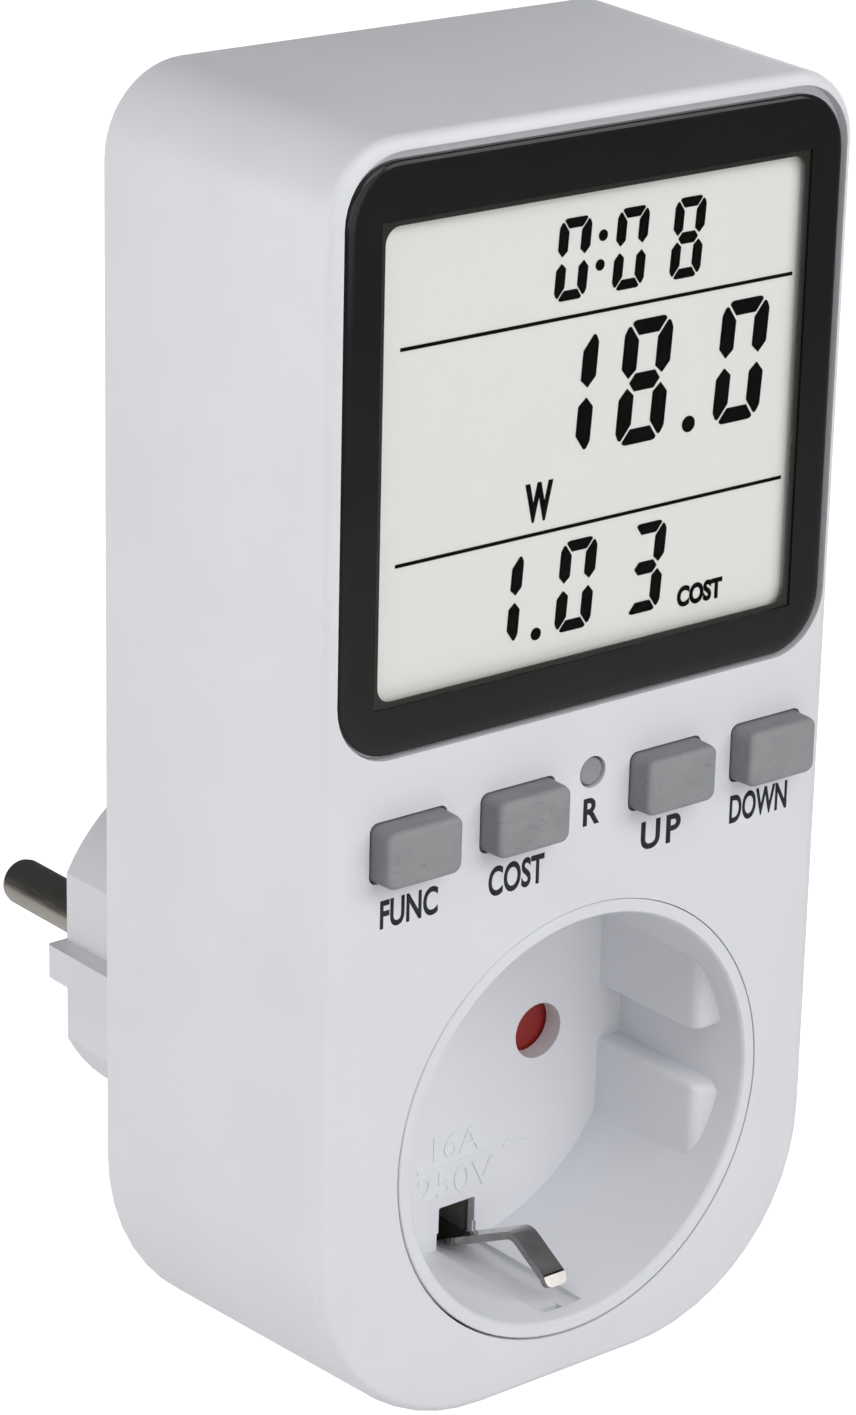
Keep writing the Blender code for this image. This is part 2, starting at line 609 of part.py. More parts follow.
def display_mask():
    """The thin dark border with round inner corners that frames the visible area."""
    outline = rounded(BEZEL_OPENING, 0.15 * MM, inset=0.06 * MM, steps=1)
    finish = material("dark_olive", (0.020, 0.021, 0.016), 0.35)
    mask = build("display_mask", [prism(outline, FRONT_Y + 0.25 * MM, FRONT_Y + 0.4 * MM)], finish)
    area = rounded(VIEW_AREA, 1.5 * MM, steps=6)
    return combine(mask, "DIFFERENCE", [prism(area, FRONT_Y - 1 * MM, FRONT_Y + 2 * MM)])


def display_window():
    outline = rounded(BEZEL_OPENING, 0.15 * MM, inset=0.15 * MM, steps=1)
    finish = material("clear_acrylic", (0.92, 0.93, 0.92), 0.05)
    return build("display_window", [prism(outline, FRONT_Y + 0.45 * MM, FRONT_Y + 0.95 * MM)], finish)


def lcd_panel():
    outline = rounded(LCD_BOX, 0.3 * MM, steps=1)
    finish = material("lcd_glass", (0.72, 0.73, 0.68), 0.2)
    return build("lcd_panel", [prism(outline, FRONT_Y + 1.1 * MM, FRONT_Y + 2.9 * MM)], finish)


def lcd_holder():
    outer = (-27.3 * MM, 24.9 * MM, 42.2 * MM, 90.6 * MM)
    inner = (-24.4 * MM, 22.0 * MM, 45.0 * MM, 87.8 * MM)
    start, end = FRONT_Y + 3.2 * MM, DISPLAY_BOARD_Y - 0.3 * MM
    finish = material("black_plastic", (0.03, 0.03, 0.03), 0.5)
    holder = build("lcd_holder", [prism(rounded(outer, 0.8 * MM, steps=2), start, end)], finish)
    hollow = prism(rounded(inner, 0.8 * MM, steps=2), start - 1 * MM, end + 1 * MM)
    return combine(holder, "DIFFERENCE", [hollow])


def zebra_strip(name, z):
    box = centred(BODY_MID, z, 42 * MM, 2.2 * MM)
    bar = prism(rounded(box, 0.2 * MM, steps=1), FRONT_Y + 3.2 * MM, DISPLAY_BOARD_Y - 0.3 * MM)
    return build(name, [bar], material("pink_silicone", (0.75, 0.42, 0.42), 0.6))


def board(name, box, y, screws):
    made = build(name, [prism(rounded(box, 0.8 * MM, steps=2), y, y + BOARD_THICK)], circuit_board())
    holes = [post(x, z, 1.3, y - 1 * MM, y + 3 * MM) for x, z in screws]
    return combine(made, "DIFFERENCE", holes)


def keypad_mat():
    """The silicone sheet under the keys: a raised contact pad for each key, a hole for the reset switch."""
    back, front = DISPLAY_BOARD_Y - 0.3 * MM, DISPLAY_BOARD_Y - 1.3 * MM
    sheet = rounded((-27.0 * MM, 24.4 * MM, 27.4 * MM, 37.0 * MM), 1 * MM, steps=3)
    mat = build("keypad_mat", [prism(sheet, front, back)], grey_rubber())
    pads = []
    for name in KEY_OFFSETS:
        x = key_centre(name)
        pads.append([
            (circle(x, ROW_Z, 1.8 * MM, 20), KEY_STEM_Y + KEY_TRAVEL + 0.3 * MM),
            (circle(x, ROW_Z, 2.4 * MM, 20), front + 0.3 * MM),
        ])
    combine(mat, "UNION", pads)
    hole = rounded(centred(RESET_X, RESET_Z, 5.2 * MM, 5.2 * MM), 0.3 * MM, steps=1)
    return combine(mat, "DIFFERENCE", [prism(hole, front - 1 * MM, back + 1 * MM)])


def key(name):
    """A key cap with soft front edges and a hidden flange that the housing holds back."""
    x = key_centre(name)
    size = centred(x, ROW_Z, KEY_WIDTH, KEY_HEIGHT)
    soft = 0.62 * MM
    face = FRONT_Y - KEY_PROUD
    levels = []
    for degrees in (0, 30, 60, 90):
        turn = math.radians(degrees)
        inset = 0.06 * MM + soft * (1 - math.sin(turn))
        outline = rounded(size, KEY_CORNER + 0.3 * MM, inset=inset, steps=5)
        levels.append((outline, face + soft * (1 - math.cos(turn))))
    flange_y = FRONT_Y + FRONT_WALL + 0.4 * MM
    flange = rounded(size, KEY_CORNER, inset=-0.9 * MM, steps=5)
    stem = rounded(centred(x, ROW_Z, 4 * MM, 3.4 * MM), 0.8 * MM, steps=5)
    levels.append((rounded(size, KEY_CORNER, steps=5), flange_y))
    levels += prism(flange, flange_y, flange_y + 0.8 * MM)
    levels += prism(stem, flange_y + 0.8 * MM, KEY_STEM_Y)
    return build(name, [levels], grey_rubber(), origin=(x, face, ROW_Z))


def reset_button():
    z = RESET_Z
    flange = FRONT_Y + FRONT_WALL + 0.3 * MM
    face = FRONT_Y + RESET_SUNK
    levels = [
        (circle(RESET_X, z, RESET_RADIUS - 0.09 * MM, 24), face),
        (circle(RESET_X, z, RESET_RADIUS, 24), face + 0.09 * MM),
        (circle(RESET_X, z, RESET_RADIUS, 24), flange),
        (circle(RESET_X, z, 2.2 * MM, 24), flange),
        (circle(RESET_X, z, 2.2 * MM, 24), flange + 0.8 * MM),
        (circle(RESET_X, z, 1.0 * MM, 24), flange + 0.8 * MM),
        (circle(RESET_X, z, 1.0 * MM, 24), KEY_STEM_Y),
    ]
    return build("reset_button", [levels], grey_rubber(), origin=(RESET_X, face, z))


def box_part(name, box, start, end, finish, corner=0.3 * MM):
    return build(name, [prism(rounded(box, corner, steps=2), start, end)], finish)


def lying_cylinder(name, centre_y, centre_z, radius, start, end, finish, steps=24):
    """A cylinder along X with softened ends."""
    soft = radius * 0.15
    levels = [
        (circle(centre_y, centre_z, radius - soft, steps), start),
        (circle(centre_y, centre_z, radius, steps), start + soft),
        (circle(centre_y, centre_z, radius, steps), end - soft),
        (circle(centre_y, centre_z, radius - soft, steps), end),
    ]
    return build(name, [levels], finish, axis="x")


def screw(name, x, z, seat, head_radius, shank_radius, head_way, length):
    """A pan-head screw with a cross recess. head_way is +1 when the head faces the rear."""
    soft = 0.35 * head_radius
    levels = [
        (circle(x, z, shank_radius, 16), seat - head_way * length),
        (circle(x, z, shank_radius, 16), seat),
        (circle(x, z, head_radius, 16), seat),
        (circle(x, z, head_radius, 16), seat + head_way * soft),
        (circle(x, z, head_radius - soft, 16), seat + head_way * 2 * soft),
    ]
    if head_way < 0:
        levels.reverse()
    made = build(name, [levels], zinc_steel(), origin=(x, seat, z))
    arms = sorted((seat + head_way * 0.7 * soft, seat + head_way * 4 * soft))
    wide, narrow = 1.2 * head_radius, 0.26 * head_radius
    for width, height in ((wide, narrow), (narrow, wide)):
        arm = rounded(centred(x, z, width, height), 0.01 * MM, steps=1)
        combine(made, "DIFFERENCE", [prism(arm, *arms)])
    return made


def electronics():
    board_box = (-27.3 * MM, 24.7 * MM, 24.9 * MM, 91.4 * MM)
    board("display_board", board_box, DISPLAY_BOARD_Y, DISPLAY_SCREWS)
    board("main_board", (-22.5 * MM, 19.9 * MM, 27.0 * MM, 84.0 * MM), MAIN_BOARD_Y, MAIN_SCREWS)
    black = material("black_epoxy", (0.02, 0.02, 0.02), 0.4)
    switch = centred(RESET_X, RESET_Z, 4.4 * MM, 4.4 * MM)
    box_part("reset_switch", switch, -51.9 * MM, -50.3 * MM, black)
    controller = centred(-2 * MM, 62 * MM, 12 * MM, 12 * MM)
    box_part("controller_chip", controller, -48.2 * MM, -46.8 * MM, black)
    behind = MAIN_BOARD_Y + BOARD_THICK + 0.2 * MM
    metering = centred(-12 * MM, 34 * MM, 5 * MM, 10 * MM)
    box_part("metering_chip", metering, behind, behind + 1.6 * MM, black)
    yellow = material("yellow_case", (0.72, 0.56, 0.08), 0.45)
    x2_box = centred(-9.5 * MM, 65 * MM, 18 * MM, 13 * MM)
    box_part("x2_capacitor", x2_box, behind, behind + 14 * MM, yellow, 0.8 * MM)


def electrolytic_capacitor():
    start = MAIN_BOARD_Y + BOARD_THICK + 0.2 * MM
    profile = ((4.7, 0.0), (5.0, 0.5), (5.0, 10.6), (4.6, 11.0))
    levels = [(circle(9 * MM, 64 * MM, radius * MM, 28), start + rise * MM) for radius, rise in profile]
    return build("electrolytic_capacitor", [levels], material("blue_sleeve", (0.03, 0.06, 0.22), 0.35))


def round_parts():
    """The parts that lie along X on the main board."""
    behind = MAIN_BOARD_Y + BOARD_THICK
    lacquer = material("blue_lacquer", (0.04, 0.12, 0.35), 0.4)
    ceramic = material("fuse_ceramic", (0.8, 0.78, 0.72), 0.4)
    coating = material("resistor_body", (0.25, 0.42, 0.38), 0.5)
    sleeve = material("green_sleeve", (0.05, 0.3, 0.12), 0.35)
    lying_cylinder("varistor", behind + 5.8 * MM, 47 * MM, 5.4 * MM, -15 * MM, -11 * MM, lacquer)
    lying_cylinder("fuse", behind + 3.2 * MM, 38 * MM, 2.6 * MM, -5 * MM, 15 * MM, ceramic)
    lying_cylinder("dropper_resistor", behind + 2.5 * MM, 53 * MM, 2.0 * MM, 2 * MM, 14 * MM, coating)
    lying_cylinder("backup_battery", behind + 6.4 * MM, 78 * MM, 5.9 * MM, -14 * MM, 8 * MM, sleeve)


def ribbon_cable():
    """The flat cable that joins the two boards, folded between them."""
    points = [(-48.1, 40.0), (-47.2, 40.0), (-47.2, 47.5), (-43.8, 47.5), (-43.8, 40.0), (-42.9, 40.0)]
    points = [(y * MM, z * MM) for y, z in points]
    radii = [0.35 * MM, 1.2 * MM, 1.2 * MM, 0.35 * MM]
    finish = material("grey_ribbon", (0.45, 0.45, 0.46), 0.55)
    return strip("ribbon_cable", points, radii, 12 * MM, 0.5 * MM, finish)


def shunt_strip():
    """The measuring shunt: a manganin strip bent into a U between the live pin and the live contact."""
    points = [(-13.5, 0.0), (-13.5, 9.0), (-17.2, 9.0), (-17.2, 0.0)]
    points = [(y * MM, z * MM) for y, z in points]
    finish = material("manganin", (0.55, 0.33, 0.22), 0.35, 1.0)
    made = strip("shunt_strip", points, [1.0 * MM, 1.0 * MM], 5.0 * MM, 0.8 * MM, finish)
    made.location.x = -PIN_PITCH / 2
    return made


def neutral_strip():
    """The bent copper strip that joins the neutral contact to the neutral pin."""
    points = [(-18.9, 0.0), (-18.9, 5.0), (-10.4, 5.0), (-10.4, 0.0)]
    points = [(y * MM, z * MM) for y, z in points]
    finish = material("copper", (0.72, 0.35, 0.2), 0.3, 1.0)
    made = strip("neutral_strip", points, [1.0 * MM, 1.0 * MM], 4.0 * MM, 0.6 * MM, finish)
    made.location.x = PIN_PITCH / 2
    return made


def rating_label():
    outline = rounded(centred(BODY_MID, 53 * MM, 34 * MM, 40 * MM), 1.5 * MM, steps=4)
    foil = prism(outline, PLATEAU_Y + 0.05 * MM, PLATEAU_Y + 0.2 * MM)
    return build("rating_label", [foil], material("silver_label", (0.62, 0.63, 0.64), 0.4))


def screws():
    case_seat = COVER_Y + 0.1 * MM
    display_seat = DISPLAY_BOARD_Y + BOARD_THICK + 0.1 * MM
    main_seat = MAIN_BOARD_Y - 0.1 * MM
    seats = (
        ("case_screw", CASE_SCREWS, case_seat, 2.3 * MM, 1.0 * MM, 1, 10 * MM),
        ("display_screw", DISPLAY_SCREWS, display_seat, 1.8 * MM, 0.7 * MM, 1, 5 * MM),
        ("main_screw", MAIN_SCREWS, main_seat, 1.8 * MM, 0.7 * MM, -1, 5 * MM),
    )
    for label, places, seat, head, shank, way, length in seats:
        for i, (x, z) in enumerate(places):
            screw(f"{label}_{i + 1}", x * MM, z * MM, seat, head, shank, way, length)


def angle_shading():
    """A geometry group that keeps faces smooth across shallow edges and sharp across steep ones."""
    group = bpy.data.node_groups.new("shade by angle", "GeometryNodeTree")
    group.interface.new_socket("Geometry", in_out="INPUT", socket_type="NodeSocketGeometry")
    group.interface.new_socket("Geometry", in_out="OUTPUT", socket_type="NodeSocketGeometry")
    source = group.nodes.new("NodeGroupInput")
    angle = group.nodes.new("GeometryNodeInputMeshEdgeAngle")
    shallow = group.nodes.new("FunctionNodeCompare")
    shallow.operation = "LESS_THAN"
    shallow.inputs[1].default_value = math.radians(SHARP_DEGREES)
    shade = group.nodes.new("GeometryNodeSetShadeSmooth")
    shade.domain = "EDGE"
    target = group.nodes.new("NodeGroupOutput")
    group.links.new(source.outputs[0], shade.inputs["Geometry"])
    group.links.new(angle.outputs["Unsigned Angle"], shallow.inputs[0])
    group.links.new(shallow.outputs[0], shade.inputs["Shade Smooth"])
    group.links.new(shade.outputs[0], target.inputs[0])
    return group


def shade_all():
    group = angle_shading()
    for item in bpy.data.objects:
        if item.type == "MESH" and not item.hide_render:
            item.modifiers.new("shade by angle", "NODES").node_group = group


def main():
    clear_scene()
    front_housing()
    rear_cover()
    socket_insert()
    contact_carrier()
    child_shutter()
    shutter_spring()
    earth_clip("earth_clip_top", 1, (-54.0, 18.1), (-50.2, 16.3))
    earth_clip("earth_clip_bottom", -1, (-55.35, 17.2), (-50.75, 14.55))
    plug_earth("plug_earth_top", 1)
    plug_earth("plug_earth_bottom", -1)
    earth_link()
    for side, pole in ((-1, "live"), (1, "neutral")):
        pin(f"pin_{pole}", side)
        contact(f"contact_{pole}", side)
    pin_bridge()
    display_bezel()
    display_mask()
    display_window()
    lcd_panel()
    lcd_holder()
    zebra_strip("zebra_strip_top", 85.6 * MM)
    zebra_strip("zebra_strip_bottom", 47.2 * MM)
    keypad_mat()
    for name in KEY_OFFSETS:
        key(name)
    reset_button()
    electronics()
    electrolytic_capacitor()
    round_parts()
    ribbon_cable()
    shunt_strip()
    neutral_strip()
    rating_label()
    screws()
    shade_all()


main()
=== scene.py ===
"""Looks for the plug-in power meter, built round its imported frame."""

import json
import math

import bmesh
import bpy
from mathutils import Matrix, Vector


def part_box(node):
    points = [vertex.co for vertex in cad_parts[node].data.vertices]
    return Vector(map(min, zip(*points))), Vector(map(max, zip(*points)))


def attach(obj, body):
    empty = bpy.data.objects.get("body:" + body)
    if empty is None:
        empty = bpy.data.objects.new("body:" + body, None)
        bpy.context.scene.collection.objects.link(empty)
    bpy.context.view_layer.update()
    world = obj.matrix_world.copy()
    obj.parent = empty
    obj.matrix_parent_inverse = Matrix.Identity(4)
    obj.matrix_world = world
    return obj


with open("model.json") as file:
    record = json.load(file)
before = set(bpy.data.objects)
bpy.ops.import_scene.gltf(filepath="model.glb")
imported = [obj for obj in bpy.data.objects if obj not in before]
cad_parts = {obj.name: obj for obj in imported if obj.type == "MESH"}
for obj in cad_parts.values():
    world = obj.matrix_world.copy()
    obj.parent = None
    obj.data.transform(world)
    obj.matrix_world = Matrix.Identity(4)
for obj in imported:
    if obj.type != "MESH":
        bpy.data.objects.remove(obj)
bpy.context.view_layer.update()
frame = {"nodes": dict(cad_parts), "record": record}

MM = 0.001

# Shading: vertices closer than this are welded, and edges steeper than this stay sharp.
WELD = 0.00001
SHARP_DEGREES = 32
PLUG_SHARP_DEGREES = 22

# Nodes painted otherwise than their slot in the record says.
REPAINTED = {
    # The clips' nickel is painted far darker than the pins' nickel: painted shade for the dim
    # reflections inside the socket.
    "earth_clip_top": "shaded_spring_nickel",
    "earth_clip_bottom": "shaded_spring_nickel",
    # The carrier is painted a lighter grey than its black plastic: painted light inside the slot.
    "contact_carrier": "lit_carrier_plastic",
}

# The display's figures stand between these two distances in front of its glass.
FIGURE_FRONT = 0.06 * MM
FIGURE_BACK = 0.02 * MM
FIGURE_DEPTH = 0.04 * MM
UNIT_WEIGHT = 0.045

# The print below the keys.
PRINT_PROUD = 0.012 * MM
PRINT_DEPTH = 0.03 * MM
PRINT_WEIGHT = 0.027

# The raised rating on the socket's floor.
RECESS_DEPTH = 17.5 * MM
MARK_PROUD = 0.13 * MM
MARK_DEPTH = 0.16 * MM

# Stage. The backdrop's glow is seen by the camera only and lights nothing.
FLOOR_HALF = 6.0
FLOOR_LEVEL = -0.32
BACKDROP_GLOW = 1.2
AMBIENT = 0.05
LIT_POINT = (0.0, -0.03, 0.035)
LIGHT_DISTANCE = 1.1
LIGHTS = (
    # name, azimuth and elevation in degrees, side in metres, power in watts
    ("front_high", 0, 43, 0.6, 3.5),
    ("front_centre", 4, 6, 0.7, 1.9),
    ("front_right", 38, 26, 0.5, 2.4),
    ("front_left", -25, 10, 0.6, 1.6),
    ("top", -75, 50, 0.7, 2.9),
    ("left", -115, -2, 0.6, 4.9),
    ("right", 115, 3, 0.7, 4.6),
)
LENS = 113.31
SENSOR = 36.0
CAMERA_ROWS = (
    (0.77955, 0.20173, -0.59296, -0.24420),
    (-0.62596, 0.28382, -0.72638, -0.33427),
    (0.02176, 0.93742, 0.34753, 0.17617),
    (0.0, 0.0, 0.0, 1.0),
)


# ---------------------------------------------------------------- materials


class Finish:
    """A Principled material whose colour, roughness and relief come from noise in object space."""

    def __init__(self, name, metallic=0.0, **uniform):
        self.material = bpy.data.materials.new(name)
        self.material.use_nodes = True
        self.tree = self.material.node_tree
        self.shader = self.tree.nodes["Principled BSDF"]
        self.shader.inputs["Metallic"].default_value = metallic
        for socket, value in uniform.items():
            self.shader.inputs[socket.replace("_", " ")].default_value = value
        place = self.tree.nodes.new("ShaderNodeTexCoord")
        self.where, self.faces = place.outputs["Object"], place.outputs["Normal"]
        self.normal = None

    def add(self, kind, **inputs):
        node = self.tree.nodes.new(kind)
        for socket, value in inputs.items():
            self.feed(node.inputs[socket.replace("_", " ")], value)
        return node

    def feed(self, socket, value):
        if isinstance(value, bpy.types.NodeSocket):
            self.tree.links.new(value, socket)
        else:
            socket.default_value = value

    def noise(self, size_mm, detail=2.0, stretch=(1, 1, 1), distortion=0.0):
        """A noise from 0 to 1 whose blobs are about size_mm across."""
        place = self.add("ShaderNodeMapping", Vector=self.where)
        place.inputs["Scale"].default_value = stretch
        made = self.add("ShaderNodeTexNoise", Vector=place.outputs[0])
        made.inputs["Scale"].default_value = 1.0 / (size_mm * MM)
        made.inputs["Detail"].default_value = detail
        made.inputs["Distortion"].default_value = distortion
        return made.outputs["Fac"]

    def spread(self, fac, low, high, start=0.3, end=0.7):
        """Maps start to low and end to high, with no values beyond them."""
        made = self.add("ShaderNodeMapRange", Value=fac)
        for index, value in enumerate((start, end, low, high), 1):
            made.inputs[index].default_value = value
        return made.outputs[0]

    def blend(self, fac, first, second, kind="MIX"):
        """Mixes two colours, each one a tuple or a socket."""
        mix = self.add("ShaderNodeMix")
        mix.data_type = "RGBA"
        mix.blend_type = kind
        self.feed(mix.inputs["Factor"], fac)
        for socket, paint in ((mix.inputs[6], first), (mix.inputs[7], second)):
            self.feed(socket, (*paint, 1.0) if isinstance(paint, tuple) else paint)
        return mix.outputs[2]

    def colour(self, fac, low, high, start=0.3, end=0.7):
        """Blends two colours by a noise and paints the surface with it."""
        paint = self.blend(self.spread(fac, 0.0, 1.0, start, end), low, high)
        self.feed(self.shader.inputs["Base Color"], paint)
        return paint

    def rough(self, fac, low, high, start=0.3, end=0.7):
        self.feed(self.shader.inputs["Roughness"], self.spread(fac, low, high, start, end))

    def relief(self, height, depth_mm):
        """Adds a bump of that depth on top of any bump there is."""
        made = self.add("ShaderNodeBump", Height=height)
        made.inputs["Distance"].default_value = depth_mm * MM
        made.inputs["Strength"].default_value = 1.0
        if self.normal:
            self.feed(made.inputs["Normal"], self.normal)
        self.normal = made.outputs[0]
        self.feed(self.shader.inputs["Normal"], self.normal)


def shade(colour, factor):
    return tuple(channel * factor for channel in colour)


def moulded(name, colour, rough, grain_mm=0.28, grain_depth=0.004, mottle=0.02, **uniform):
    """Moulded plastic: a fine eroded grain, faint flow marks and slightly uneven gloss."""
    made = Finish(name, **uniform)
    made.colour(made.noise(14.0, 3.0), shade(colour, 1 - mottle), shade(colour, 1 + mottle))
    made.rough(made.noise(1.6, 4.0), rough - 0.05, rough + 0.05)
    made.relief(made.noise(grain_mm, 3.0), grain_depth)
    made.relief(made.noise(9.0, 2.0), 0.02)
    return made


def white_plastic():
    return moulded("white_plastic", (0.808, 0.817, 0.850), 0.46, IOR=1.5)


def red_plastic():
    return moulded("red_plastic", (0.33, 0.022, 0.02), 0.36, grain_depth=0.002)


def black_plastic():
    return moulded("black_plastic", (0.022, 0.022, 0.023), 0.48, mottle=0.12)


# Painted light: a mid grey, far lighter than the black plastic of the carrier, stands in for the
# light inside the slot.
def lit_carrier_plastic():
    return moulded("lit_carrier_plastic", (0.30, 0.30, 0.28), 0.5, mottle=0.08)


def black_gloss():
    """Polished black frame with faint polishing haze and a few hair scratches."""
    made = Finish("black_gloss", IOR=1.46, Specular_IOR_Level=0.32)
    made.colour(made.noise(18.0, 2.0), (0.0130, 0.0130, 0.0133), (0.0160, 0.0160, 0.0165))
    made.rough(made.noise(3.0, 5.0), 0.10, 0.17)
    scratch = made.noise(0.5, 2.0, stretch=(1.0, 1.0, 0.04))
    made.relief(scratch, 0.0006)
    made.relief(made.noise(11.0, 1.0), 0.006)
    return made


def dark_olive():
    """Printed border behind the window."""
    colour = (0.021, 0.022, 0.017)
    return moulded("dark_olive", colour, 0.34, grain_mm=0.12, grain_depth=0.001, mottle=0.06)


def clear_acrylic():
    made = Finish("clear_acrylic", IOR=1.49, Alpha=0.025)
    made.colour(made.noise(20.0), (0.05, 0.051, 0.05), (0.07, 0.071, 0.07))
    made.rough(made.noise(4.0, 4.0), 0.03, 0.09)
    return made


def lcd_glass():
    """The grey-green ground of the display, with the fine sparkle of its rear reflector."""
    made = Finish("lcd_glass", IOR=1.5, Specular_IOR_Level=0.25)
    base = (0.925, 0.935, 0.885)
    made.colour(made.noise(0.11, 2.0), shade(base, 0.985), shade(base, 1.015))
    made.rough(made.noise(6.0, 3.0), 0.28, 0.36)
    made.relief(made.noise(0.11, 2.0), 0.0008)
    return made


def grey_rubber():
    """Silicone rubber: dull, softly mottled, with lint-like scuffs, and painted shade that darkens
    the flanks turned away from the front.
    """
    made = Finish("grey_rubber", IOR=1.43)
    cloud = made.noise(2.4, 6.0, distortion=0.6)
    base = made.colour(cloud, (0.290, 0.295, 0.304), (0.325, 0.331, 0.340))
    scuff = made.noise(0.75, 4.0, stretch=(0.35, 1.0, 1.0), distortion=1.4)
    mark = made.spread(scuff, 0.0, 0.55, 0.62, 0.72)
    scuffed = made.blend(mark, base, (0.20, 0.203, 0.21))
    # Painted shade: faces turned away from the front are darkened, standing in for the light that
    # the body keeps off the key sides.
    turned = made.add("ShaderNodeSeparateXYZ", Vector=made.faces).outputs["Y"]
    flank = made.spread(turned, 0.0, 1.0, -0.75, 0.0)
    shaded_flanks = made.blend(flank, scuffed, (0.64, 0.64, 0.65), "MULTIPLY")
    made.feed(made.shader.inputs["Base Color"], shaded_flanks)
    made.rough(made.noise(1.1, 5.0), 0.56, 0.74)
    made.relief(scuff, 0.03)
    made.relief(made.noise(0.14, 3.0), 0.004)
    return made


def pink_silicone():
    made = Finish("pink_silicone")
    bands = made.noise(0.35, 1.0, stretch=(1.0, 0.01, 0.01))
    made.colour(bands, (0.62, 0.28, 0.28), (0.80, 0.47, 0.47), 0.45, 0.55)
    made.rough(made.noise(1.0), 0.5, 0.65)
    made.relief(bands, 0.01)
    return made


def circuit_board():
    """Green solder mask over a weave, with traces that show as paler lines."""
    made = Finish("circuit_board", IOR=1.5)
    brick = made.add("ShaderNodeTexBrick", Vector=made.where)
    brick.inputs["Scale"].default_value = 220.0
    brick.inputs["Mortar Size"].default_value = 0.035
    trace = made.spread(brick.outputs["Fac"], 0.0, 1.0, 0.0, 1.0)
    made.colour(trace, (0.012, 0.12, 0.045), (0.04, 0.24, 0.10), 0.0, 1.0)
    made.rough(made.noise(2.0, 3.0), 0.28, 0.42)
    made.relief(trace, 0.03)
    made.relief(made.noise(0.3, 2.0), 0.004)
    return made


def lacquer(name, colour, rough, depth=0.03):
    """A dipped or shrunk coat with slow ripples."""
    made = Finish(name, IOR=1.5)
    made.colour(made.noise(5.0, 3.0), shade(colour, 0.88), shade(colour, 1.1))
    made.rough(made.noise(2.0, 4.0), rough - 0.06, rough + 0.08)
    made.relief(made.noise(2.2, 2.0), depth)
    made.relief(made.noise(0.2, 2.0), 0.003)
    return made


def metal(name, colour, rough, stretch, tarnish=0.12, depth=0.0025):
    """Drawn or plated metal: fine lines along its length, slight tarnish, small handling marks."""
    made = Finish(name, metallic=1.0)
    made.colour(made.noise(3.5, 5.0), shade(colour, 1 - tarnish), colour, 0.35, 0.6)
    lines = made.noise(0.09, 3.0, stretch=stretch)
    made.rough(lines, rough - 0.06, rough + 0.10)
    made.relief(lines, depth)
    made.relief(made.noise(2.6, 3.0), 0.012)
    return made


def zinc_steel():
    """Zinc plate, with the faint straw and blue tints of its passivation."""
    made = Finish("zinc_steel", metallic=1.0)
    made.colour(made.noise(1.3, 4.0), (0.60, 0.60, 0.56), (0.62, 0.66, 0.72))
    made.rough(made.noise(0.4, 4.0), 0.24, 0.42)
    made.relief(made.noise(0.25, 3.0), 0.004)
    return made


def silver_label():
    """Brushed foil with a slight wave where it was pressed on."""
    made = Finish("silver_label", metallic=0.55)
    lines = made.noise(0.12, 3.0, stretch=(0.03, 1.0, 1.0))
    made.colour(lines, (0.58, 0.59, 0.60), (0.70, 0.71, 0.72))
    made.rough(lines, 0.34, 0.46)
    made.relief(lines, 0.001)
    made.relief(made.noise(8.0, 1.0), 0.02)
    return made


def grey_ribbon():
    made = Finish("grey_ribbon")
    wires = made.add("ShaderNodeTexWave", Vector=made.where)
    wires.bands_direction = "X"
    wires.inputs["Scale"].default_value = 125.0
    made.colour(wires.outputs["Fac"], (0.30, 0.30, 0.31), (0.52, 0.52, 0.53), 0.0, 1.0)
    made.rough(made.noise(1.0), 0.45, 0.6)
    made.relief(wires.outputs["Fac"], 0.12)
    return made


def print_ink(name, colour, rough):
    """Pad-printed or liquid-crystal black, a little uneven."""
    made = Finish(name, Specular_IOR_Level=0.05)
    made.colour(made.noise(0.35, 4.0), shade(colour, 0.8), shade(colour, 1.3))
    made.rough(made.noise(0.8, 2.0), rough - 0.06, rough + 0.06)
    made.relief(made.noise(0.2, 2.0), 0.001)
    return made


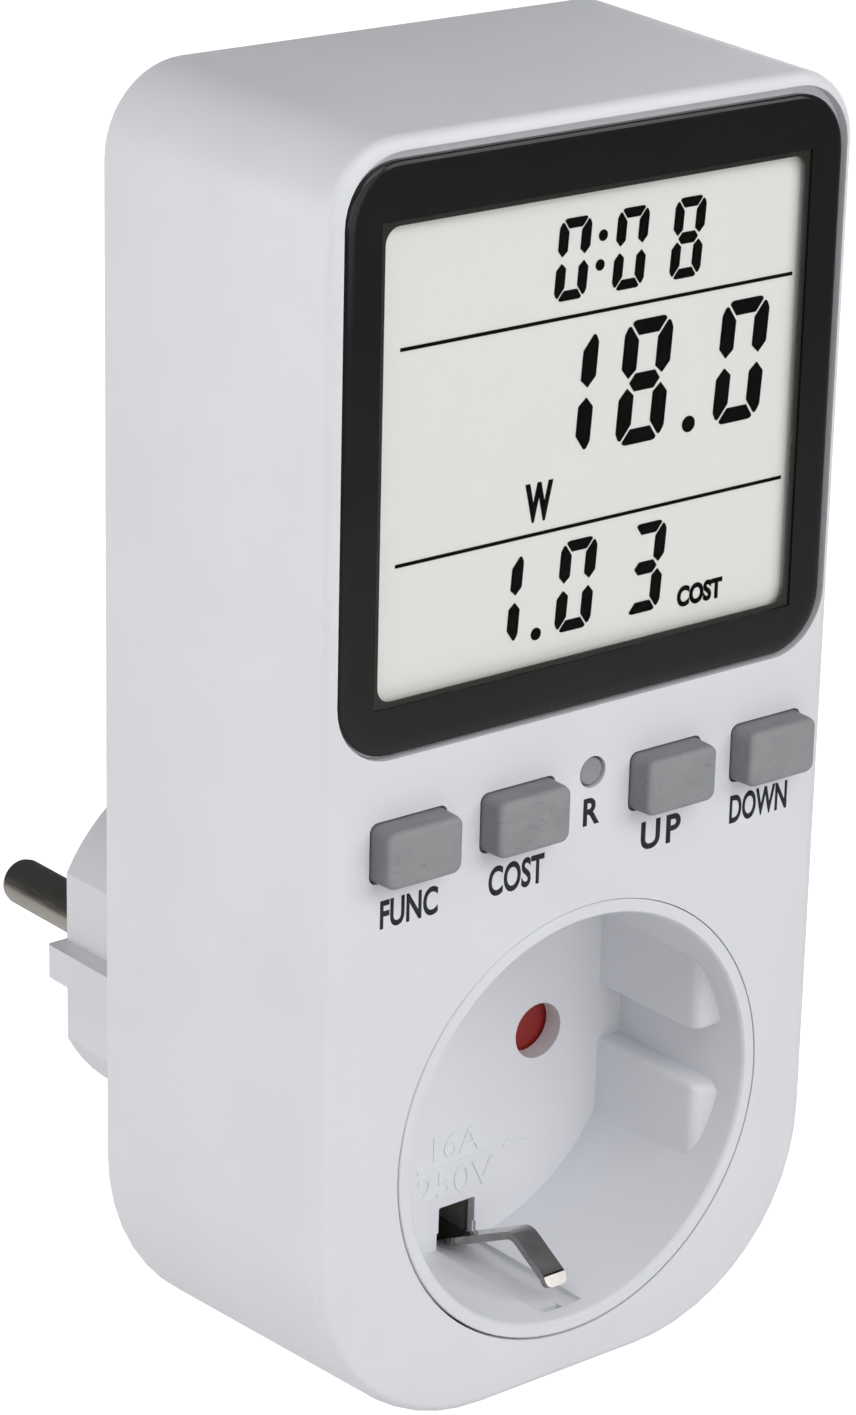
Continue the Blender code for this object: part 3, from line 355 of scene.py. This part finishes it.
def make_finishes():
    """A material for each of the record's slots, two for repainted nodes, and two inks."""
    along_y = (1.0, 0.03, 1.0)
    along_z = (1.0, 1.0, 0.03)
    finishes = {
        "white_plastic": white_plastic(),
        "red_plastic": red_plastic(),
        "black_plastic": black_plastic(),
        "lit_carrier_plastic": lit_carrier_plastic(),
        "black_gloss": black_gloss(),
        "dark_olive": dark_olive(),
        "clear_acrylic": clear_acrylic(),
        "lcd_glass": lcd_glass(),
        "pink_silicone": pink_silicone(),
        "grey_rubber": grey_rubber(),
        "circuit_board": circuit_board(),
        "black_epoxy": moulded("black_epoxy", (0.02, 0.02, 0.021), 0.4, mottle=0.15),
        "yellow_case": moulded("yellow_case", (0.72, 0.52, 0.06), 0.4),
        "blue_sleeve": lacquer("blue_sleeve", (0.03, 0.06, 0.22), 0.3),
        "blue_lacquer": lacquer("blue_lacquer", (0.04, 0.12, 0.35), 0.36, 0.08),
        "fuse_ceramic": lacquer("fuse_ceramic", (0.80, 0.78, 0.72), 0.4),
        "resistor_body": lacquer("resistor_body", (0.25, 0.42, 0.38), 0.45, 0.06),
        "green_sleeve": lacquer("green_sleeve", (0.05, 0.30, 0.12), 0.3),
        "grey_ribbon": grey_ribbon(),
        "manganin": metal("manganin", (0.62, 0.38, 0.27), 0.34, along_z),
        "copper": metal("copper", (0.80, 0.42, 0.27), 0.30, along_z),
        "brass": metal("brass", (0.80, 0.60, 0.28), 0.30, along_y),
        "nickel": metal("nickel", (0.74, 0.69, 0.62), 0.17, along_y, 0.12),
        # A darker copy of nickel for the clips: painted shade for the dim reflections inside the
        # socket.
        "shaded_spring_nickel": metal("shaded_spring_nickel", (0.30, 0.29, 0.28), 0.09, along_y, 0.25),
        "zinc_steel": zinc_steel(),
        "silver_label": silver_label(),
        "label_ink": print_ink("label_ink", (0.035, 0.036, 0.038), 0.5),
        "lcd_ink": print_ink("lcd_ink", (0.0012, 0.0012, 0.0012), 0.4),
    }
    return {name: finish.material for name, finish in finishes.items()}


# ---------------------------------------------------------------- shading of the frame


def surface_group(sharp_degrees):
    """Welds a mesh and keeps it smooth across shallow edges and sharp across steep ones."""
    group = bpy.data.node_groups.new("welded and shaded by angle", "GeometryNodeTree")
    group.interface.new_socket("Geometry", in_out="INPUT", socket_type="NodeSocketGeometry")
    group.interface.new_socket("Geometry", in_out="OUTPUT", socket_type="NodeSocketGeometry")
    source = group.nodes.new("NodeGroupInput")
    forget = group.nodes.new("GeometryNodeRemoveAttribute")
    forget.inputs["Name"].default_value = "custom_normal"
    weld = group.nodes.new("GeometryNodeMergeByDistance")
    weld.inputs["Distance"].default_value = WELD
    faces = group.nodes.new("GeometryNodeSetShadeSmooth")
    faces.domain = "FACE"
    angle = group.nodes.new("GeometryNodeInputMeshEdgeAngle")
    shallow = group.nodes.new("FunctionNodeCompare")
    shallow.operation = "LESS_THAN"
    shallow.inputs[1].default_value = math.radians(sharp_degrees)
    edges = group.nodes.new("GeometryNodeSetShadeSmooth")
    edges.domain = "EDGE"
    target = group.nodes.new("NodeGroupOutput")
    link = group.links.new
    link(source.outputs[0], forget.inputs["Geometry"])
    link(forget.outputs[0], weld.inputs["Geometry"])
    link(weld.outputs[0], faces.inputs["Geometry"])
    link(faces.outputs[0], edges.inputs["Geometry"])
    link(angle.outputs["Unsigned Angle"], shallow.inputs[0])
    link(shallow.outputs[0], edges.inputs["Shade Smooth"])
    link(edges.outputs[0], target.inputs[0])
    return group


def dress_frame(finishes):
    """Paints and shades every CAD node. The plug's flats need a lower angle to stay crisp."""
    slots = {row["node"]: row["material_slot"] for row in frame["record"]["subparts"]}
    smooth = surface_group(SHARP_DEGREES)
    crisp = surface_group(PLUG_SHARP_DEGREES)
    for name, node in frame["nodes"].items():
        node.material_slots[0].material = finishes[REPAINTED.get(name, slots[name])]
        surface = node.modifiers.new("surface", "NODES")
        surface.node_group = crisp if name == "rear_cover" else smooth


# ---------------------------------------------------------------- lettering


def flat_piece(name, outlines, front_y, back_y, finish):
    """A thin solid for each outline of (x, z) in mm, between two places along Y."""
    mesh = bmesh.new()
    for outline in outlines:
        front = [mesh.verts.new((x * MM, front_y, z * MM)) for x, z in outline]
        back = [mesh.verts.new((x * MM, back_y, z * MM)) for x, z in outline]
        mesh.faces.new(front)
        mesh.faces.new(list(reversed(back)))
        for i in range(len(outline)):
            j = (i + 1) % len(outline)
            mesh.faces.new((front[j], front[i], back[i], back[j]))
    bmesh.ops.recalc_face_normals(mesh, faces=mesh.faces)
    data = bpy.data.meshes.new(name)
    mesh.to_mesh(data)
    mesh.free()
    data.materials.append(finish)
    piece = bpy.data.objects.new(name, data)
    bpy.context.scene.collection.objects.link(piece)
    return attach(piece, "housing")


def disc(x, z, radius, steps=32):
    """The outline of a round point."""
    angles = [2 * math.pi * i / steps for i in range(steps)]
    return [(x + radius * math.cos(a), z + radius * math.sin(a)) for a in angles]


# Segments of an upright digit that is DIGIT_HEIGHT tall, in mm from its middle.
DIGIT_HEIGHT = 11.1
SLANT = 0.078
SEGMENTS_OF = {"0": "abcdef", "1": "bc", "3": "abcdg", "8": "abcdefg"}
BAR = (
    (-1.15, 4.17), (-1.93, 5.2), (-1.9, 5.4), (-1.6, 5.55),
    (1.6, 5.55), (1.9, 5.4), (1.93, 5.2), (1.15, 4.17),
)
SIDE = (
    (1.1, 3.73), (2.1, 5.03), (2.28, 5.07), (2.45, 4.95),
    (2.77, 4.35), (2.77, 1.35), (1.93, 0.43), (1.1, 1.15),
)
MIDDLE = ((-1.75, 0), (-1.12, 0.8), (1.12, 0.8), (1.75, 0), (1.12, -0.8), (-1.12, -0.8))


def digit(text, cx, cz, height):
    """The lit segments of one slanted seven-segment digit."""
    shapes = {
        "a": BAR,
        "b": SIDE,
        "c": [(x, -z) for x, z in SIDE],
        "d": [(x, -z) for x, z in BAR],
        "e": [(-x, -z) for x, z in SIDE],
        "f": [(-x, z) for x, z in SIDE],
        "g": MIDDLE,
    }
    grow = height / DIGIT_HEIGHT
    return [
        [(cx + (x + SLANT * z) * grow, cz + z * grow) for x, z in shapes[key]]
        for key in SEGMENTS_OF[text]
    ]


def bar_outline(x0, x1, z, thickness):
    half = thickness / 2
    return [(x0, z - half), (x1, z - half), (x1, z + half), (x0, z + half)]


def lettering(name, text, box, front_y, depth, finish, weight=0.0, spacing=1.0):
    """Raised or printed letters that fill a box (left, right, low, high) in mm and face -Y."""
    curve = bpy.data.curves.new(name, "FONT")
    curve.body = text
    curve.offset = weight
    curve.space_character = spacing
    curve.resolution_u = 6
    source = bpy.data.objects.new(name + "_source", curve)
    bpy.context.scene.collection.objects.link(source)
    bpy.context.view_layer.update()
    depsgraph = bpy.context.evaluated_depsgraph_get()
    data = bpy.data.meshes.new_from_object(source.evaluated_get(depsgraph))
    bpy.data.objects.remove(source)
    mesh = bmesh.new()
    mesh.from_mesh(data)
    bmesh.ops.remove_doubles(mesh, verts=mesh.verts, dist=WELD)
    xs = [vert.co.x for vert in mesh.verts]
    ys = [vert.co.y for vert in mesh.verts]
    wide = (box[1] - box[0]) / (max(xs) - min(xs))
    tall = (box[3] - box[2]) / (max(ys) - min(ys))
    for vert in mesh.verts:
        x = box[0] + (vert.co.x - min(xs)) * wide
        z = box[2] + (vert.co.y - min(ys)) * tall
        vert.co = (x * MM, front_y, z * MM)
    bmesh.ops.recalc_face_normals(mesh, faces=mesh.faces)
    grown = bmesh.ops.extrude_face_region(mesh, geom=list(mesh.faces))
    moved = [item for item in grown["geom"] if isinstance(item, bmesh.types.BMVert)]
    bmesh.ops.translate(mesh, verts=moved, vec=(0, depth, 0))
    bmesh.ops.recalc_face_normals(mesh, faces=mesh.faces)
    mesh.to_mesh(data)
    mesh.free()
    data.name = name
    data.materials.clear()
    data.materials.append(finish)
    piece = bpy.data.objects.new(name, data)
    bpy.context.scene.collection.objects.link(piece)
    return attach(piece, "housing")


def display_image(finishes):
    """The figures, rules and unit marks that the liquid crystal shows."""
    ink = finishes["lcd_ink"]
    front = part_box("lcd_panel")[0].y
    low, high = front - FIGURE_FRONT, front - FIGURE_BACK
    rows = (
        ("lcd_time", (("0", -3.66), ("0", 2.83), ("8", 9.38)), 81.14, 7.15),
        ("lcd_power", (("1", -3.53), ("8", 4.98), ("0", 16.33)), 69.03, 11.14),
        ("lcd_cost", (("1", -10.42), ("0", -2.07), ("3", 5.98)), 51.75, 8.28),
    )
    points = {
        "lcd_time": ((-0.36, 82.71, 0.50), (-0.61, 80.14, 0.50)),
        "lcd_power": ((10.36, 64.18, 0.75),),
        "lcd_cost": ((-6.50, 48.07, 0.57),),
    }
    for name, figures, cz, height in rows:
        outlines = [disc(*point) for point in points[name]]
        for text, cx in figures:
            outlines += digit(text, cx, cz, height)
        flat_piece(name, outlines, low, high, ink)
    rules = [bar_outline(-22.2, 22.0, 76.07, 0.32), bar_outline(-22.3, 21.9, 57.24, 0.32)]
    flat_piece("lcd_rules", rules, low, high, ink)
    unit_box = (-8.18, -5.07, 58.33, 61.90)
    cost_box = (9.93, 15.29, 47.16, 49.14)
    lettering("lcd_unit", "W", unit_box, low, FIGURE_DEPTH, ink, UNIT_WEIGHT)
    lettering("lcd_cost_mark", "COST", cost_box, low, FIGURE_DEPTH, ink, UNIT_WEIGHT)


def front_labels(finishes):
    """The grey print below each key and the reset button."""
    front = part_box("front_housing")[0].y - PRINT_PROUD
    ink = finishes["label_ink"]
    labels = (
        ("label_func", "FUNC", (-24.04, -17.64, 24.90, 27.62), 1.0),
        ("label_cost", "COST", (-11.96, -5.57, 24.92, 27.78), 1.0),
        ("label_reset", "R", (-1.21, 0.71, 29.12, 31.74), 1.0),
        ("label_up", "UP", (5.79, 10.57, 25.12, 27.90), 1.25),
        ("label_down", "DOWN", (16.57, 23.71, 25.22, 28.02), 1.0),
    )
    for name, text, box, spacing in labels:
        lettering(name, text, box, front, PRINT_DEPTH, ink, PRINT_WEIGHT, spacing)


def floor_marks(finishes):
    """The faint raised rating on the socket's floor."""
    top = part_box("socket_insert")[0].y + RECESS_DEPTH - MARK_PROUD
    back = top + MARK_DEPTH
    white = finishes["white_plastic"]
    middle, half_stroke = -10.92, 0.15
    pieces = [
        lettering("mark_current", "16A", (-3.08, 2.63, -10.30, -7.75), top, MARK_DEPTH, white),
        lettering("mark_voltage", "250V", (-4.88, 4.38, -14.30, -11.50), top, MARK_DEPTH, white),
        flat_piece("mark_rule", [bar_outline(-4.95, 5.0, middle, 0.30)], top, back, white),
    ]
    start, length, swing, steps = 5.5, 2.5, 0.28, 16
    wave = []
    for side in (1, -1):
        for i in range(steps + 1):
            t = i / steps if side > 0 else 1 - i / steps
            z = middle + swing * math.sin(2 * math.pi * t) + side * half_stroke
            wave.append((start + length * t, z))
    pieces.append(flat_piece("mark_alternating", [wave[::-1]], top, back, white))


# ---------------------------------------------------------------- stage


def split_by_ray(tree, lit, shown, surface):
    """Shows the camera one shader and everything else another."""
    mix = tree.nodes.new("ShaderNodeMixShader")
    seen = tree.nodes.new("ShaderNodeLightPath")
    tree.links.new(seen.outputs["Is Camera Ray"], mix.inputs[0])
    tree.links.new(lit.outputs[0], mix.inputs[1])
    tree.links.new(shown.outputs[0], mix.inputs[2])
    tree.links.new(mix.outputs[0], surface)


def make_stage():
    """A pale floor well below the plug."""
    mesh = bpy.data.meshes.new("floor")
    corners = [
        (x * FLOOR_HALF, y * FLOOR_HALF, FLOOR_LEVEL)
        for x, y in ((-1, -1), (1, -1), (1, 1), (-1, 1))
    ]
    mesh.from_pydata(corners, [], [(0, 1, 2, 3)])
    floor = bpy.data.objects.new("floor", mesh)
    bpy.context.scene.collection.objects.link(floor)
    pale = bpy.data.materials.new("pale_floor")
    pale.use_nodes = True
    tree = pale.node_tree
    shader = tree.nodes["Principled BSDF"]
    shader.inputs["Base Color"].default_value = (0.9, 0.9, 0.9, 1.0)
    shader.inputs["Roughness"].default_value = 0.8
    glow = tree.nodes.new("ShaderNodeEmission")
    glow.inputs["Strength"].default_value = BACKDROP_GLOW
    split_by_ray(tree, shader, glow, tree.nodes["Material Output"].inputs["Surface"])
    mesh.materials.append(pale)


def make_world():
    """A white backdrop and a faint cool fill."""
    world = bpy.data.worlds.new("studio")
    bpy.context.scene.world = world
    world.use_nodes = True
    tree = world.node_tree
    tree.nodes.clear()
    lit = tree.nodes.new("ShaderNodeBackground")
    lit.inputs["Color"].default_value = (0.95, 0.97, 1.0, 1.0)
    lit.inputs["Strength"].default_value = AMBIENT
    shown = tree.nodes.new("ShaderNodeBackground")
    shown.inputs["Color"].default_value = (1.0, 1.0, 1.0, 1.0)
    shown.inputs["Strength"].default_value = BACKDROP_GLOW
    split_by_ray(tree, lit, shown, tree.nodes.new("ShaderNodeOutputWorld").inputs["Surface"])


def area_light(name, azimuth, elevation, size, power):
    """A square soft light aimed at the middle of the object. Azimuth 0 is in front."""
    data = bpy.data.lights.new(name, "AREA")
    data.shape = "SQUARE"
    data.size = size
    data.energy = power
    light = bpy.data.objects.new(name, data)
    a, e = math.radians(azimuth), math.radians(elevation)
    back = (math.sin(a) * math.cos(e), -math.cos(a) * math.cos(e), math.sin(e))
    light.location = [c + b * LIGHT_DISTANCE for c, b in zip(LIT_POINT, back)]
    aim = Matrix.Rotation(a, 4, "Z") @ Matrix.Rotation(math.radians(90) - e, 4, "X")
    light.rotation_euler = aim.to_euler()
    bpy.context.scene.collection.objects.link(light)


def make_camera():
    data = bpy.data.cameras.new("camera")
    data.lens = LENS
    data.sensor_width = SENSOR
    camera = bpy.data.objects.new("camera", data)
    camera.matrix_world = Matrix(CAMERA_ROWS)
    bpy.context.scene.collection.objects.link(camera)
    bpy.context.scene.camera = camera


bpy.context.scene.view_settings.view_transform = "Standard"
finishes = make_finishes()
dress_frame(finishes)
display_image(finishes)
front_labels(finishes)
floor_marks(finishes)
make_stage()
make_world()
for light in LIGHTS:
    area_light(*light)
make_camera()
